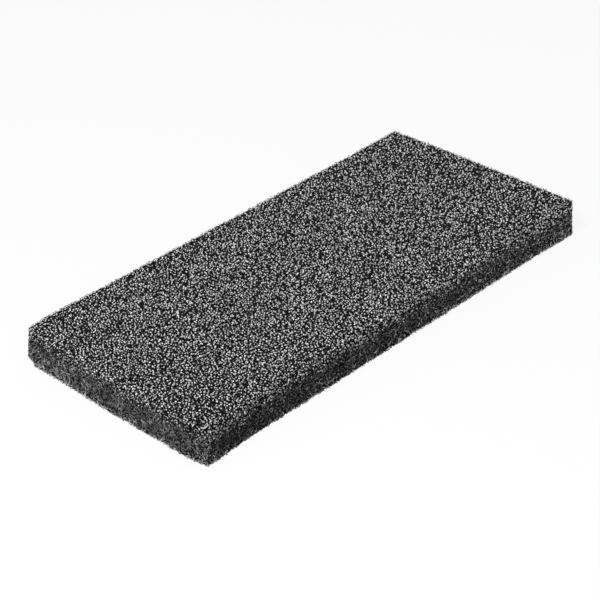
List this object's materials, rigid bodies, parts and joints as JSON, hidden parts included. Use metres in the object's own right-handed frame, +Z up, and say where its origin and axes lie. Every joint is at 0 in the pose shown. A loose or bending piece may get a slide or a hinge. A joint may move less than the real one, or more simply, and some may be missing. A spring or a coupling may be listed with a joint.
{
  "type": "diamond polishing pad",
  "caption": "Rectangular hand polishing pad cut from a thick open web of crimped fibres, bonded with resin and diamond grit.",
  "frame": {"origin": "middle of the underside, on the surface that the pad rests on", "axes": "+X along the pad's length, +Y across its width, +Z up through its thickness to the working face"},
  "size_m": [0.254, 0.117, 0.02],
  "materials": {
    "fibre_web": "open nonwoven web, charcoal fibres with pale grit-coated tips on the working face"
  },
  "bodies": {
    "root": {"pad": "fibre_web"}
  },
  "joints": []
}
